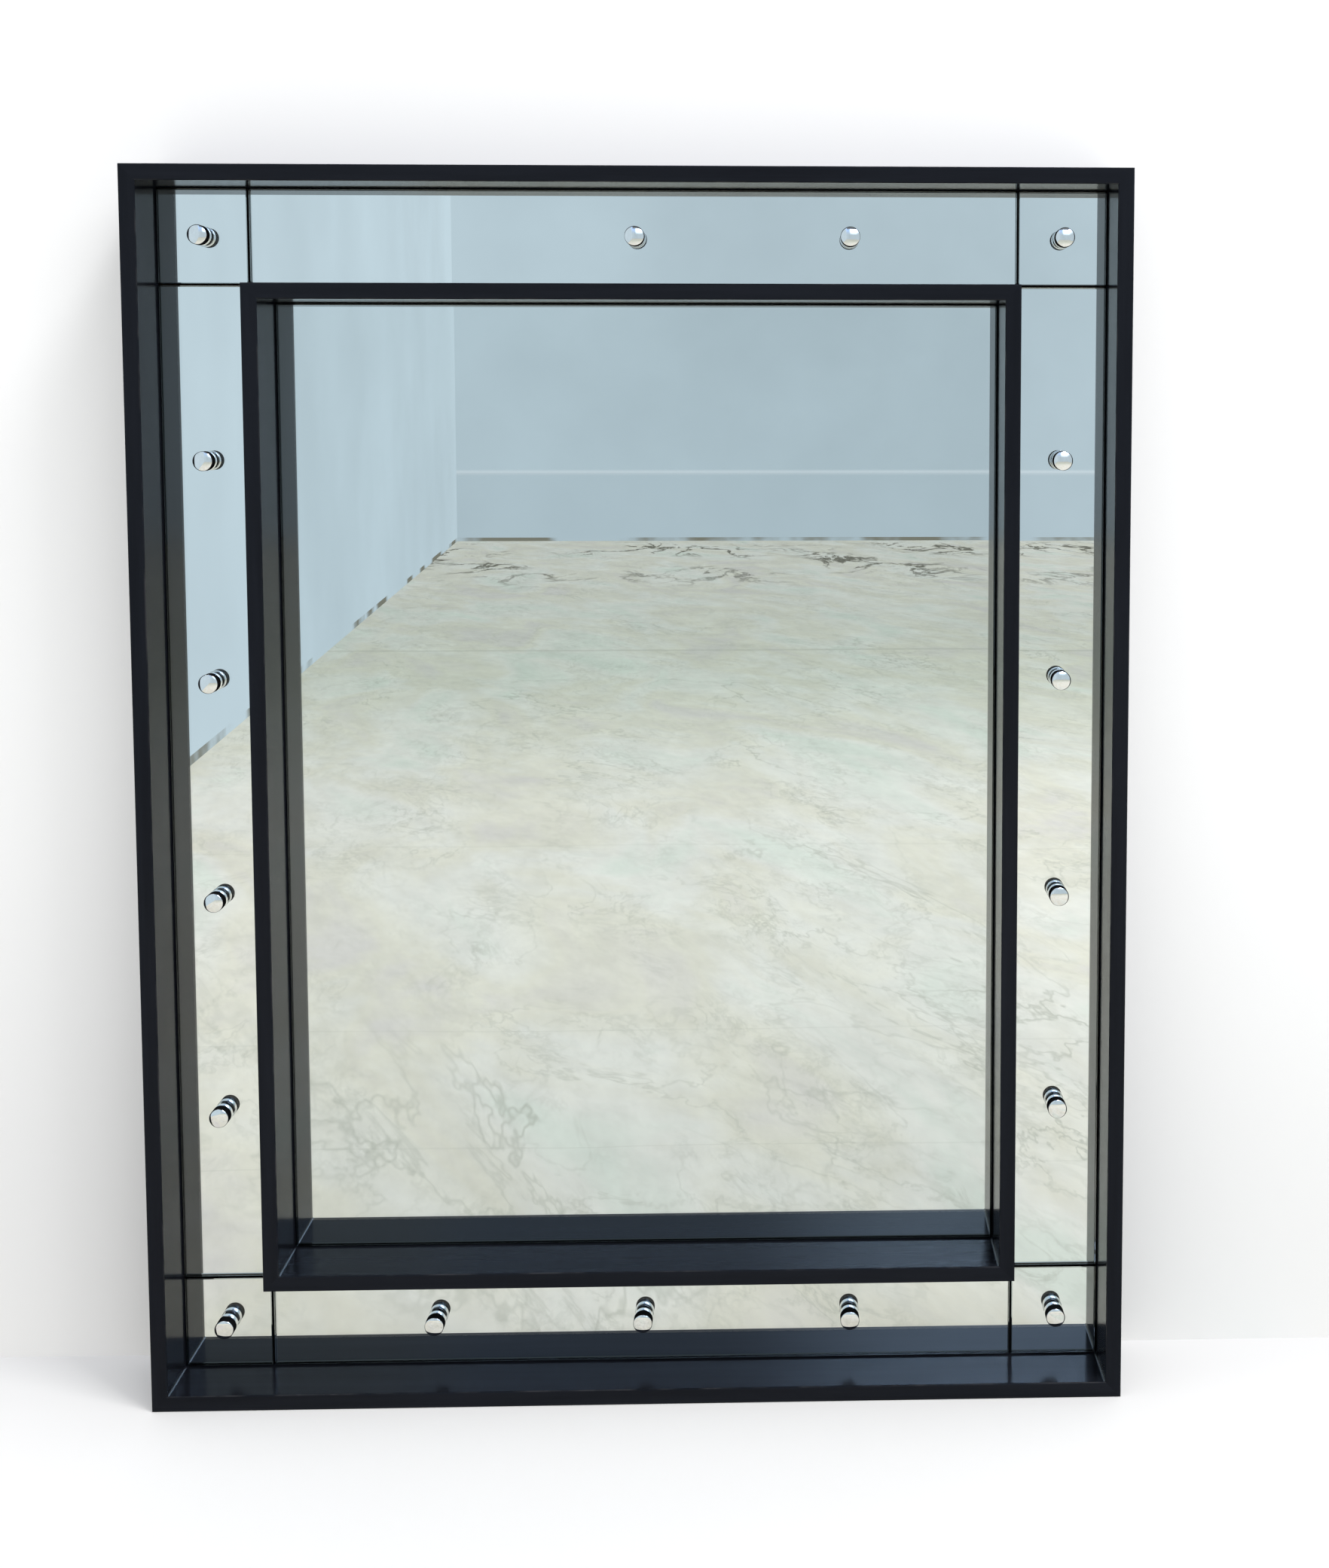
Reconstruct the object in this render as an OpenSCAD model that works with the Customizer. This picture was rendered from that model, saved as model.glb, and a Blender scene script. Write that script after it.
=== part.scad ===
// Wall mirror: two mitred box frames of black boards, a border of mirror plates between them that
// tall chrome studs hold, and a centre mirror sunk inside the inner frame.
// Millimetres, Z up, X to the right. The front faces -Y, the wall is the plane y = 0, and the bottom
// edge is at z = 0. Frame pieces are drawn about the mirror's centre and lifted to their height.

/* [Overall] */
// Width over the outer frame
overall_w = 800; // [700:5:1000]
// Height over the outer frame
overall_h = 1014; // [900:1:1300]

/* [Frames] */
// Thickness of the outer boards
outer_t = 13; // [11:0.5:18]
// Thickness of the inner boards
inner_t = 13; // [11:0.5:18]
// Width of the mirrored border at the left and right
border_side = 74; // [68:1:100]
// Height of the mirrored border at the top and bottom
border_end = 78; // [68:1:100]
// Distance from the border glass forward to the outer frame's front edge
outer_proud = 50; // [36:1:70]
// Distance from the border glass forward to the inner frame's front edge
inner_proud = 29; // [16:1:34]
// Distance from the border glass back to the centre glass
centre_sunk = 28; // [16:1:30]
// Radius of the eased front edges
edge_r = 1.2; // [0.5:0.1:2]
// Depth left open behind the rails for the hangers
back_recess = 11; // [9:0.5:20]

/* [Mirror glass] */
// Thickness of the glass
glass_t = 4; // [3:1:6]
// Width of the ground arris on the glass edges
arris = 0.6; // [0.3:0.1:1]
// Width of the seam between neighbouring plates
seam = 2; // [1:0.5:3]
// Gap between the glass and the boards beside it
glass_gap = 1; // [0.5:0.25:2]

/* [Backing] */
// Thickness of the mounting tape
tape_t = 1; // [0.5:0.5:2]
// Width of the tape under the border plates
tape_w = 12; // [8:1:16]
// Number of tape strips under the centre glass
centre_tapes = 5; // [3:1:8]
// Thickness of the border boards
border_board_t = 9; // [6:1:12]
// Thickness of the centre board
centre_board_t = 9; // [6:0.5:9]
// Thickness of the rails and stiles
rail_t = 20; // [18:1:28]
// Gap left round the boards and rails where they fit between the frames
fit_gap = 0.5; // [0.25:0.25:1]

/* [Mitres] */
// Length of a mitre spline along the depth of the boards
spline_len = 20; // [12:1:24]
// Width of a mitre spline across the mitre
spline_w = 9; // [6:1:10]
// Thickness of a mitre spline
spline_t = 3; // [2:0.5:4]
// Clearance of a spline in its slot
spline_gap = 0.1; // [0.05:0.05:0.2]

/* [Studs] */
// Studs along each side, corners included
side_studs = 6; // [5:1:8]
// Stud places along the top and bottom, corners included
end_studs = 5; // [4:1:7]
// Whether the second place from the left of the top strip has its stud
top_left_stud = false; // [true, false]
// Diameter of the stud cap
cap_d = 16; // [15:0.5:20]
// Height of the cap's straight skirt
cap_skirt = 9; // [8.5:0.5:12]
// Rise of the cap's slightly domed face
cap_rise = 1.2; // [1:0.2:2.4]
// Height of the collar's flange
flange_h = 5; // [3:0.5:7]
// Diameter of the collar's threaded boss
boss_d = 10; // [9.5:0.5:11]
// Height of the collar's threaded boss
boss_h = 6; // [4:0.5:7]
// Thickness of the washer under the collar
washer_h = 1; // [0.5:0.5:2]
// Diameter of the washer
washer_d = 13; // [11:0.5:14]
// Diameter of the hole drilled in the glass
glass_hole_d = 8; // [7:0.5:9]
// Wall of the plastic sleeve in the glass hole
sleeve_wall = 1.5; // [1:0.1:1.6]
// Diameter of the stud screw
stud_screw_d = 4; // [3.5:0.1:4.5]
// How far the stud screw bites into the rail
stud_bite = 15; // [10:1:16]

/* [Screws] */
// Diameter of the wood screws
screw_d = 3.5; // [3:0.1:4]
// Radial clearance round screws
screw_fit = 0.1; // [0.05:0.05:0.2]
// How far the hanger and brace screws bite into the wood
plate_bite = 14; // [10:1:16]
// How far the centre board's screws bite into the inner boards
centre_bite = 16; // [12:1:20]
// Wood left in front of the border boards' screws
screw_stop = 3; // [2:0.5:4]

/* [Corner braces] */
// Length of a brace's arm from its corner
brace_arm = 72; // [70:1:76]
// Width of a brace's arm
brace_w = 15; // [12:1:18]
// Thickness of a brace
brace_t = 2; // [1.5:0.5:3]

/* [Hangers] */
// Distance of the rings' hinge below the top edge
hanger_drop = 169; // [165:2:265]
// Width of the strap plate
strap_w = 19; // [14:0.5:19]
// Length of the strap plate below the hinge
strap_len = 48; // [42:1:56]
// Thickness of the strap
strap_t = 1.5; // [1:0.25:1.5]
// Diameter of the ring's wire
wire_d = 4; // [3:0.25:4]
// Radial clearance of the wire in the rolled eye
eye_gap = 0.1; // [0.05:0.05:0.2]
// Radius of the ring's round end, at the middle of the wire
ring_r = 14; // [13:0.5:16]
// Drop from the hinge to the middle of the ring's round end
ring_drop = 8; // [6:1:12]
// Radius of the bends beside the eye, at the middle of the wire
bend_r = 3.5; // [3:0.25:4]

/* [Hidden] */
$fn = 64;

black = "#17181a";
silver = "#b9c6cc";
chrome = "#d7dade";
fibreboard = "#b08d63";
pine = "#d9bd8a";
steel = "#9aa0a6";
plastic = "#dfe3e6";
rubber = "#2a2b2d";
foam = "#f0f0ea";

// Planes from the wall forward
rail_back = -back_recess;
rail_front = rail_back - rail_t;
border_board_front = rail_front - border_board_t;
glass_back = border_board_front - tape_t;
glass_front = glass_back - glass_t;
outer_front = glass_front - outer_proud;
inner_front = glass_front - inner_proud;
centre_front = glass_front + centre_sunk;
centre_glass_back = centre_front + glass_t;
centre_board_front = centre_glass_back + tape_t;
centre_board_back = centre_board_front + centre_board_t;

// Half sizes, from the mirror's centre
outer_x = overall_w / 2;
outer_z = overall_h / 2;
border_out_x = outer_x - outer_t;
border_out_z = outer_z - outer_t;
inner_x = border_out_x - border_side;
inner_z = border_out_z - border_end;
open_x = inner_x - inner_t;
open_z = inner_z - inner_t;
mid_x = inner_x + border_side / 2;
mid_z = inner_z + border_end / 2;

// How far a cut runs past the face it opens
over = 1;

// Sizes that follow
outer_depth = -outer_front;
inner_depth = centre_board_front - inner_front;
strip_side_w = border_side - glass_gap - seam / 2;
strip_end_h = border_end - glass_gap - seam / 2;
board_half_x = border_out_x - fit_gap;
board_half_z = border_out_z - fit_gap;
board_in_x = inner_x + fit_gap;
board_in_z = inner_z + fit_gap;
cap_r = cap_d / 2;
dome_r = (cap_r * cap_r + cap_rise * cap_rise) / (2 * cap_rise);
cap_headroom = 1;
cap_cavity = boss_h + cap_headroom;
thread_gap = 0.1;
cap_chamfer = 0.4;
stud_head_d = stud_screw_d * 1.8;
screw_head_d = screw_d * 1.9;
cross_w = 1;
cross_len = 3.6;
cross_deep = 1.5;
stud_screw_len = boss_h + flange_h + washer_h + glass_t + tape_t + border_board_t + stud_bite;
border_screw_len = rail_t + border_board_t - screw_stop;
spline_inset = 0.5;
spline_outer_places = [0.28, 0.72];
spline_inner_places = [0.3, 0.7];
tape_offset = 0.3;
tape_end = 12;
centre_tape_w = 20;
centre_tape_margin = 60;
wire_r = wire_d / 2;
eye_in = wire_r + eye_gap;
eye_out = eye_in + strap_t;
eye_lift = 0.2;
eye_side_gap = 1;
eye_w = 2 * (ring_r - bend_r - eye_side_gap);
eye_neck = 7;
eye_root = 1;
hinge_y = rail_back + eye_out + eye_lift;
hinge_z = outer_z - hanger_drop;
strap_hole_1 = 11;
strap_hole_2 = strap_len - strap_w / 2;
brace_hole_1 = 47;
brace_hole_end = 6;
brace_hole_2 = brace_arm - brace_hole_end;

corners = [[1, 1], [1, -1], [-1, -1], [-1, 1]];
function along(i, n, half) = -half + 2 * half * i / (n - 1);
side_places = [for (i = [0 : side_studs - 1], s = [-1, 1]) [s * mid_x, along(i, side_studs, mid_z)]];
end_places = [for (i = [1 : end_studs - 2], s = [-1, 1])
    if (top_left_stud || !(i == 1 && s == 1)) [along(i, end_studs, mid_x), s * mid_z]];
stud_places = concat(side_places, end_places);
stile_screws = [for (i = [1 : side_studs - 3], s = [-1, 1])
    [s * mid_x, along(i + 0.5, side_studs, mid_z)]];
rail_screws = [for (i = [0 : end_studs - 2], s = [-1, 1])
    [along(i + 0.5, end_studs, mid_x), s * mid_z]];
border_screws = concat(stile_screws, rail_screws);
centre_screw_x = inner_x - inner_t / 2;
centre_screw_z = inner_z - inner_t / 2;
centre_screw_inset = 60;
centre_screws = concat(
    [for (i = [0 : 3], s = [-1, 1])
        [s * centre_screw_x, along(i, 4, centre_screw_z - centre_screw_inset)]],
    [for (i = [0 : 2], s = [-1, 1])
        [along(i, 3, centre_screw_x - centre_screw_inset), s * centre_screw_z]]);
brace_places = [for (c = corners, d = [brace_hole_1, brace_hole_2], upright = [0, 1])
    [c[0] * (mid_x - (1 - upright) * d), c[1] * (mid_z - upright * d)]];
hanger_places = [for (s = [-1, 1], d = [strap_hole_1, strap_hole_2]) [s * mid_x, hinge_z - d]];

// Lifts what is drawn about the mirror's centre to its height, with its front at a plane
module at_plane(y) {
    translate([0, y, outer_z]) children();
}

// Repeats at each [x, z] place of a list on the plane y
module at_places(places, y) {
    for (p = places) at_plane(y) translate([p[0], 0, p[1]]) children();
}

// Section of a board on edge: depth by thickness, with both front edges eased
module eased_section(depth, t) {
    translate([edge_r, 0]) square([depth - edge_r, t]);
    translate([0, edge_r]) square([depth, t - 2 * edge_r]);
    translate([edge_r, edge_r]) circle(edge_r);
    translate([edge_r, t - edge_r]) circle(edge_r);
}

// Board of a box frame, mitred at both ends; reach is from the centre to its outer face
module mitred_board(length, reach, t, depth) {
    intersection() {
        translate([0, depth, 0]) rotate([90, 0, 0]) linear_extrude(depth)
            polygon([[-length / 2, reach], [length / 2, reach],
                [length / 2 - t, reach - t], [-length / 2 + t, reach - t]]);
        translate([-length / 2, 0, reach - t]) rotate([90, 0, 90]) linear_extrude(length)
            eased_section(depth, t);
    }
}

// Round-ended tongues across the mitres of one frame, at shares of its depth
module mitre_splines(half_x, half_z, t, depth, places, grow) {
    for (k = [0 : 3], place = places)
        translate([corners[k][0] * (half_x - t / 2 - spline_inset), depth * place,
            corners[k][1] * (half_z - t / 2 - spline_inset)])
            rotate([0, 45 + 90 * k, 0])
                translate([0, 0, -spline_t / 2 - grow]) linear_extrude(spline_t + 2 * grow)
                    spline_outline(spline_w + 2 * grow, spline_len + 2 * grow);
}

// Outline of a spline: a bar with two round ends
module spline_outline(w, len) {
    square([w, len - w], center = true);
    for (s = [-1, 1]) translate([0, s * (len - w) / 2]) circle(d = w);
}

// One board of the outer frame, turned by quarter turns from the top
module outer_board(turn, length, reach) {
    color(black) at_plane(outer_front) difference() {
        rotate([0, 90 * turn, 0]) mitred_board(length, reach, outer_t, outer_depth);
        mitre_splines(outer_x, outer_z, outer_t, outer_depth, spline_outer_places, spline_gap);
    }
}

// One board of the inner frame, with the pilot holes of the centre board's screws in its back
module inner_board(turn, length, reach) {
    color(black) difference() {
        at_plane(inner_front) difference() {
            rotate([0, 90 * turn, 0]) mitred_board(length, reach, inner_t, inner_depth);
            mitre_splines(inner_x, inner_z, inner_t, inner_depth, spline_inner_places, spline_gap);
        }
        centre_screw_holes();
    }
}

// Section of a glass plate: thickness by length, with a ground arris on each corner
function arris_points(len) = [[arris, -len / 2], [glass_t - arris, -len / 2],
    [glass_t, -len / 2 + arris], [glass_t, len / 2 - arris], [glass_t - arris, len / 2],
    [arris, len / 2], [0, len / 2 - arris], [0, -len / 2 + arris]];

// Glass plate with all its edges arrised, centred in width and height
module glass_plate(w, h) {
    intersection() {
        translate([-w / 2, 0, 0]) rotate([90, 0, 90]) linear_extrude(w) polygon(arris_points(h));
        translate([0, 0, -h / 2]) linear_extrude(h)
            polygon([for (p = arris_points(w)) [p[1], p[0]]]);
    }
}

// Straight holes through whatever lies between two planes, at the stud places
module stud_holes(d, from, to) {
    at_places(stud_places, from) rotate([-90, 0, 0]) cylinder(d = d, h = to - from);
}

// Border plate with its centre at [x, z], drilled for the studs
module border_plate(x, z, w, h) {
    color(silver) difference() {
        at_plane(glass_front) translate([x, 0, z]) glass_plate(w, h);
        stud_holes(glass_hole_d, glass_front - over, glass_back + over);
    }
}

// Corner plate; sx and sz are the signs of its corner
module corner_mirror(sx, sz) {
    border_plate(sx * (border_out_x - glass_gap - strip_side_w / 2),
        sz * (border_out_z - glass_gap - strip_end_h / 2), strip_side_w, strip_end_h);
}

// Upright strip at the left or right
module side_strip(sx) {
    border_plate(sx * (border_out_x - glass_gap - strip_side_w / 2), 0,
        strip_side_w, 2 * inner_z - seam);
}

// Level strip at the top or bottom
module end_strip(sz) {
    border_plate(0, sz * (border_out_z - glass_gap - strip_end_h / 2),
        2 * inner_x - seam, strip_end_h);
}

// Centre glass, inside the inner frame
module centre_mirror() {
    color(silver) at_plane(centre_front)
        glass_plate(2 * (open_x - glass_gap), 2 * (open_z - glass_gap));
}

// Flat strip between two planes, centred at [x, z]
module flat_strip(x, z, w, h, from, to) {
    at_plane(from) translate([x - w / 2, 0, z - h / 2]) cube([w, to - from, h]);
}

// Two runs of tape under each border plate, clear of the studs
module border_tape() {
    color(foam) for (s = [-1, 1], side = [-1, 1]) {
        x = side * tape_offset * border_side;
        z = side * tape_offset * border_end;
        flat_strip(s * mid_x + x, 0, tape_w, 2 * (inner_z - tape_end), glass_back, border_board_front);
        flat_strip(0, s * mid_z + z, 2 * (inner_x - tape_end), tape_w, glass_back, border_board_front);
        for (c = [-1, 1])
            flat_strip(s * mid_x + x, c * mid_z, tape_w, border_end - 2 * tape_end,
                glass_back, border_board_front);
    }
}

// Upright runs of tape under the centre glass
module centre_tape() {
    color(foam) for (i = [0 : centre_tapes - 1])
        flat_strip(along(i, centre_tapes, open_x - centre_tape_margin), 0, centre_tape_w,
            2 * (open_z - centre_tape_margin), centre_glass_back, centre_board_front);
}

// Level border board: runs over the corners
module border_board_end(sz) {
    color(fibreboard) difference() {
        flat_strip(0, sz * (board_half_z + board_in_z) / 2, 2 * board_half_x,
            board_half_z - board_in_z, border_board_front, rail_front);
        backing_holes();
    }
}

// Upright border board: fits between the level ones
module border_board_side(sx) {
    color(fibreboard) difference() {
        flat_strip(sx * (board_half_x + board_in_x) / 2, 0, board_half_x - board_in_x,
            2 * (board_in_z - fit_gap), border_board_front, rail_front);
        backing_holes();
    }
}

// Upright stile: runs past the ends of the rails
module stile(sx) {
    color(pine) difference() {
        flat_strip(sx * (board_half_x + board_in_x) / 2, 0, board_half_x - board_in_x,
            2 * board_half_z, rail_front, rail_back);
        backing_holes();
    }
}

// Level rail: fits between the stiles
module rail(sz) {
    color(pine) difference() {
        flat_strip(0, sz * (board_half_z + board_in_z) / 2, 2 * (board_in_x - fit_gap),
            board_half_z - board_in_z, rail_front, rail_back);
        backing_holes();
    }
}

// Panel behind the centre glass, screwed to the back edges of the inner frame
module centre_board() {
    color(fibreboard) difference() {
        flat_strip(0, 0, 2 * (inner_x - fit_gap), 2 * (inner_z - fit_gap),
            centre_board_front, centre_board_back);
        centre_screw_holes();
    }
}

// Half section of a countersunk screw, its head at height 0 and its tip above; grow widens a hole
module screw_section(d, head_d, len, grow) {
    r = d / 2 + grow;
    head_r = head_d / 2 + grow;
    polygon([[0, 0], [head_r, 0], [r, head_r - r], [r, len - d], [0, len + grow]]);
}

// Countersunk screw with a cross recess, pointing along +Z
module countersunk_screw(d, head_d, len) {
    difference() {
        rotate_extrude() screw_section(d, head_d, len, 0);
        for (turn = [0, 90]) rotate([0, 0, turn])
            translate([-cross_len / 2, -cross_w / 2, -over])
                cube([cross_len, cross_w, over + cross_deep]);
    }
}

// Hole that a countersunk screw fits, with its mouth open
module screw_hole(d, head_d, len) {
    rotate_extrude() screw_section(d, head_d, len, screw_fit);
    translate([0, 0, -over]) cylinder(r = head_d / 2 + screw_fit, h = over);
}

// Row of screws driven forward from a plane at the back
module back_screws(places, y, len) {
    color(steel) at_places(places, y) rotate([90, 0, 0]) countersunk_screw(screw_d, screw_head_d, len);
}

// Holes for screws driven forward from a plane at the back
module back_screw_holes(places, y, len) {
    at_places(places, y) rotate([90, 0, 0]) screw_hole(screw_d, screw_head_d, len);
}

// Everything that is drilled in the border boards, rails and stiles
module backing_holes() {
    stud_holes(stud_screw_d + 2 * screw_fit, border_board_front - over,
        rail_front + stud_bite - stud_screw_d / 2);
    stud_points();
    back_screw_holes(border_screws, rail_back, border_screw_len);
    back_screw_holes(brace_places, rail_back + brace_t, brace_t + plate_bite);
    back_screw_holes(hanger_places, rail_back + strap_t, strap_t + plate_bite);
}

// Pointed ends of the stud screws' pilot holes
module stud_points() {
    at_places(stud_places, rail_front + stud_bite) rotate([-90, 0, 0])
        translate([0, 0, -stud_screw_d])
            cylinder(r1 = stud_screw_d / 2 + screw_fit, r2 = 0, h = stud_screw_d + screw_fit);
}

// Holes of the screws that hold the centre board to the inner frame
module centre_screw_holes() {
    back_screw_holes(centre_screws, centre_board_back, centre_board_t + centre_bite);
}

// Stud cap, its open rim at height 0: a large ball cut to a straight skirt, bored out for the boss
module dome_cap() {
    difference() {
        intersection() {
            cylinder(r = cap_r, h = cap_skirt + cap_rise + over);
            translate([0, 0, cap_skirt + cap_rise - dome_r]) rotate([90, 0, 0])
                sphere(dome_r, $fn = 128);
        }
        rotate_extrude() translate([cap_r, 0]) rotate(45)
            square(cap_chamfer * sqrt(2), center = true);
        translate([0, 0, -over]) cylinder(r = boss_d / 2 + thread_gap, h = cap_cavity + over);
    }
}

// Caps, screwed down on the collars
module stud_caps() {
    color(chrome) at_places(stud_places, glass_front - washer_h - flange_h) rotate([90, 0, 0])
        dome_cap();
}

// Collars: a flange as wide as the cap, a boss and a countersunk hole
module stud_collars() {
    color(chrome) at_places(stud_places, glass_front - washer_h) rotate([90, 0, 0]) difference() {
        union() {
            cylinder(d = cap_d, h = flange_h);
            cylinder(d = boss_d, h = flange_h + boss_h);
        }
        translate([0, 0, flange_h + boss_h]) rotate([180, 0, 0])
            screw_hole(stud_screw_d, stud_head_d, stud_screw_len);
    }
}

// Flat ring between two diameters
module flat_ring(outside, inside, h) {
    difference() {
        cylinder(d = outside, h = h);
        translate([0, 0, -over]) cylinder(d = inside, h = h + 2 * over);
    }
}

// Washers between the collars and the glass
module stud_washers() {
    color(rubber) at_places(stud_places, glass_front) rotate([90, 0, 0])
        flat_ring(washer_d, stud_screw_d + 2 * screw_fit, washer_h);
}

// Sleeves that line the glass holes down to the border boards
module stud_sleeves() {
    color(plastic) at_places(stud_places, border_board_front) rotate([90, 0, 0])
        flat_ring(glass_hole_d - 2 * screw_fit, glass_hole_d - 2 * sleeve_wall, glass_t + tape_t);
}

// Screws that clamp the collars and the glass to the rails
module stud_screws() {
    color(steel) at_places(stud_places, glass_front - washer_h - flange_h - boss_h)
        rotate([-90, 0, 0]) countersunk_screw(stud_screw_d, stud_head_d, stud_screw_len);
}

// Flat steel angles over the joints of the rails and stiles
module corner_braces() {
    color(steel) for (c = corners) difference() {
        at_plane(rail_back) translate([c[0] * mid_x, brace_t, c[1] * mid_z]) rotate([90, 0, 0])
            linear_extrude(brace_t) for (arm = [[c[0], 0], [0, c[1]]]) {
                translate([-arm[0] * brace_arm / 2, -arm[1] * brace_arm / 2])
                    square([brace_w + abs(arm[0]) * (brace_arm - brace_w),
                        brace_w + abs(arm[1]) * (brace_arm - brace_w)], center = true);
                translate([-arm[0] * brace_arm, -arm[1] * brace_arm]) circle(d = brace_w);
                circle(d = brace_w);
            }
        back_screw_holes(brace_places, rail_back + brace_t, brace_t + plate_bite);
    }
}

// Side view of the strap: flat plate and rolled eye, depth by height, the hinge at height 0
module strap_side() {
    difference() {
        union() {
            translate([0, -strap_len]) square([strap_t, strap_len + eye_root]);
            translate([eye_out + eye_lift, 0]) circle(eye_out);
        }
        translate([eye_out + eye_lift, 0]) circle(eye_in);
    }
}

// Front view of the strap: plate with a round end, narrowed to the eye
module strap_front() {
    translate([-strap_w / 2, -strap_len + strap_w / 2]) square([strap_w, strap_len - strap_w / 2 - eye_neck]);
    translate([0, -strap_len + strap_w / 2]) circle(d = strap_w);
    translate([-eye_w / 2, -strap_len / 2]) square([eye_w, strap_len / 2 + eye_out + over]);
}

// Strap hanger plate on a stile
module hanger_strap(sx) {
    color(steel) difference() {
        at_plane(rail_back) translate([sx * mid_x, 0, hinge_z]) intersection() {
            translate([-strap_w / 2, 0, 0]) rotate([90, 0, 90]) linear_extrude(strap_w) strap_side();
            translate([0, 2 * eye_out + over, 0]) rotate([90, 0, 0])
                linear_extrude(2 * eye_out + over) strap_front();
        }
        back_screw_holes(hanger_places, rail_back + strap_t, strap_t + plate_bite);
    }
}

// Ring that hangs from the eye: straight bar, two bends, two legs and a round end
module hanger_ring(sx) {
    color(steel) at_plane(hinge_y) translate([sx * mid_x, 0, hinge_z]) {
        bar = 2 * (ring_r - bend_r);
        translate([-bar / 2, 0, 0]) rotate([0, 90, 0]) cylinder(r = wire_r, h = bar);
        for (s = [0, 1]) mirror([s, 0, 0]) {
            translate([bar / 2, 0, -bend_r]) rotate([90, 0, 0]) rotate_extrude(angle = 90)
                translate([bend_r, 0]) circle(wire_r);
            translate([ring_r, 0, -ring_drop]) cylinder(r = wire_r, h = ring_drop - bend_r);
        }
        translate([0, 0, -ring_drop]) rotate([90, 0, 0]) rotate([0, 0, 180])
            rotate_extrude(angle = 180) translate([ring_r, 0]) circle(wire_r);
    }
}

outer_board(0, overall_w, outer_z);  // outer_board_top
outer_board(1, overall_h, outer_x);  // outer_board_right
outer_board(2, overall_w, outer_z);  // outer_board_bottom
outer_board(3, overall_h, outer_x);  // outer_board_left
inner_board(0, 2 * inner_x, inner_z);  // inner_board_top
inner_board(1, 2 * inner_z, inner_x);  // inner_board_right
inner_board(2, 2 * inner_x, inner_z);  // inner_board_bottom
inner_board(3, 2 * inner_z, inner_x);  // inner_board_left
color(pine) at_plane(outer_front)  // outer_mitre_splines
    mitre_splines(outer_x, outer_z, outer_t, outer_depth, spline_outer_places, 0);
color(pine) at_plane(inner_front)  // inner_mitre_splines
    mitre_splines(inner_x, inner_z, inner_t, inner_depth, spline_inner_places, 0);
corner_mirror(-1, 1);  // corner_mirror_top_left
corner_mirror(1, 1);  // corner_mirror_top_right
corner_mirror(-1, -1);  // corner_mirror_bottom_left
corner_mirror(1, -1);  // corner_mirror_bottom_right
end_strip(1);  // strip_mirror_top
end_strip(-1);  // strip_mirror_bottom
side_strip(-1);  // strip_mirror_left
side_strip(1);  // strip_mirror_right
centre_mirror();
border_tape();
centre_tape();
border_board_end(1);  // border_board_top
border_board_end(-1);  // border_board_bottom
border_board_side(-1);  // border_board_left
border_board_side(1);  // border_board_right
centre_board();
rail(1);  // rail_top
rail(-1);  // rail_bottom
stile(-1);  // stile_left
stile(1);  // stile_right
stud_caps();
stud_collars();
stud_washers();
stud_sleeves();
stud_screws();
back_screws(border_screws, rail_back, border_screw_len);  // border_board_screws
back_screws(centre_screws, centre_board_back, centre_board_t + centre_bite);  // centre_board_screws
corner_braces();
back_screws(brace_places, rail_back + brace_t, brace_t + plate_bite);  // brace_screws
hanger_strap(-1);  // hanger_strap_left
hanger_strap(1);  // hanger_strap_right
hanger_ring(-1);  // hanger_ring_left
hanger_ring(1);  // hanger_ring_right
back_screws(hanger_places, rail_back + strap_t, strap_t + plate_bite);  // hanger_screws
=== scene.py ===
import math

import bmesh
import bpy
import numpy as np
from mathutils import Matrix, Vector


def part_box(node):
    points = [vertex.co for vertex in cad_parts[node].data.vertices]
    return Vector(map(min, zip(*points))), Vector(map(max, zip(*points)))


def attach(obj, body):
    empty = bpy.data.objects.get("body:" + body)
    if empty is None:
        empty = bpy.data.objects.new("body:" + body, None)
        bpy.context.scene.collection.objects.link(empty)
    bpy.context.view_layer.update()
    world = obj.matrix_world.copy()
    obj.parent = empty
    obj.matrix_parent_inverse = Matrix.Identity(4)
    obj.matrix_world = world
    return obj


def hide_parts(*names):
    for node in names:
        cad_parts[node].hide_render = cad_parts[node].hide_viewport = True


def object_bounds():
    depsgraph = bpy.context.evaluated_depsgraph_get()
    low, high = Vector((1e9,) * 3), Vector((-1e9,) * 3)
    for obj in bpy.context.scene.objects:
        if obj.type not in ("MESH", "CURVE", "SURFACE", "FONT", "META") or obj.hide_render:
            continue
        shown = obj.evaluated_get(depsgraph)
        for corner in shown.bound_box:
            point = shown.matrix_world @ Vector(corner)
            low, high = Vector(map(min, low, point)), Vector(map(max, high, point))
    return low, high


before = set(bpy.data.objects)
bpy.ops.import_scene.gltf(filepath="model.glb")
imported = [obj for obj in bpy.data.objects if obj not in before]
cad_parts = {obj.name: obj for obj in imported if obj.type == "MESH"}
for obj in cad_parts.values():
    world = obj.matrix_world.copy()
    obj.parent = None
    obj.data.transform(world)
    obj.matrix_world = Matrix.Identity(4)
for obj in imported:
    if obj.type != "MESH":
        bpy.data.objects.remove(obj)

# The whole mirror: it stands on its lower edge with its back in the plane y = 0 and its face towards -Y.
# Its box is taken straight from the imported model.
box_low, box_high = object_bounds()
MM = 0.001
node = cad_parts
ROOT = "mirror"

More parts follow.
